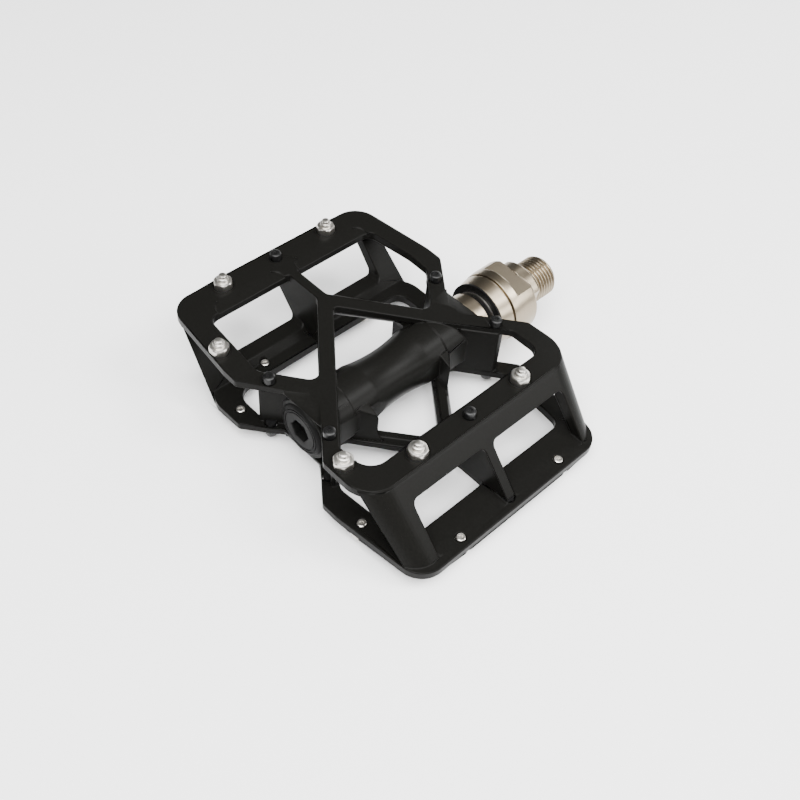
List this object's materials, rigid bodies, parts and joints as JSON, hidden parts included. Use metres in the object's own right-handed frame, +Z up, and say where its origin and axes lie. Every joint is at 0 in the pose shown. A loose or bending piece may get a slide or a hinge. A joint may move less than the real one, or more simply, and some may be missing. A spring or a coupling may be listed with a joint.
{
  "type": "flat pedal",
  "caption": "Black open-frame flat pedal with two offset decks on a waisted barrel, hexagon traction pins and studs, turning on a nickel-plated threaded spindle.",
  "frame": {"origin": "on the spindle axis, in the plane of the shoulder that meets the crank arm", "axes": "+X along the spindle out of the shoulder through the crank thread; +Z up, square to the decks; +Y towards the long edge of the upper deck"},
  "size_m": [0.115, 0.114, 0.0314],
  "materials": {
    "black_alloy": "black anodised, satin",
    "black_plastic": "moulded, satin",
    "black_steel": "black oxide",
    "nickel": "satin nickel plate",
    "bright_steel": "bright zinc",
    "bearing_steel": "ground",
    "plain_alloy": "turned",
    "bronze": "sintered",
    "seal_rubber": "moulded"
  },
  "bodies": {
    "spindle_unit": {"spindle": "nickel", "dust_collar": "nickel", "collar_seal": "seal_rubber", "thrust_washer": "bright_steel", "spindle_washer": "bearing_steel", "spindle_nut": "bearing_steel", "race_in_tip": "bearing_steel", "race_in_mid": "bearing_steel"},
    "platform": {"pedal_body": "black_alloy", "end_cap": "black_plastic", "end_cap_ring": "seal_rubber", "spacer_tube": "plain_alloy", "race_out_tip": "bearing_steel", "race_out_mid": "bearing_steel", "shields_tip": "seal_rubber", "shields_mid": "seal_rubber", "bearing_sleeve": "nickel", "bushing": "bronze", "lip_seal": "seal_rubber", "pins_top": "bright_steel", "pins_bottom": "bright_steel", "studs_top": "black_steel", "studs_bottom": "black_steel"},
    "ball_set_tip": {"balls_tip": "bearing_steel", "cage_tip": "bronze"},
    "ball_set_mid": {"balls_mid": "bearing_steel", "cage_mid": "bronze"}
  },
  "joints": [
    {"name": "platform_spin", "type": "hinge", "parent": "spindle_unit", "child": "platform", "pos_m": [0, 0, 0], "axis": [1, 0, 0], "continuous": true},
    {"name": "tip_balls_orbit", "type": "hinge", "parent": "spindle_unit", "child": "ball_set_tip", "pos_m": [-0.082, 0, 0], "axis": [1, 0, 0], "continuous": true},
    {"name": "mid_balls_orbit", "type": "hinge", "parent": "spindle_unit", "child": "ball_set_mid", "pos_m": [-0.077, 0, 0], "axis": [1, 0, 0], "continuous": true}
  ],
  "couplings": [
    {"joint": "tip_balls_orbit", "follows": "platform_spin", "ratio": 0.591},
    {"joint": "mid_balls_orbit", "follows": "platform_spin", "ratio": 0.591}
  ]
}
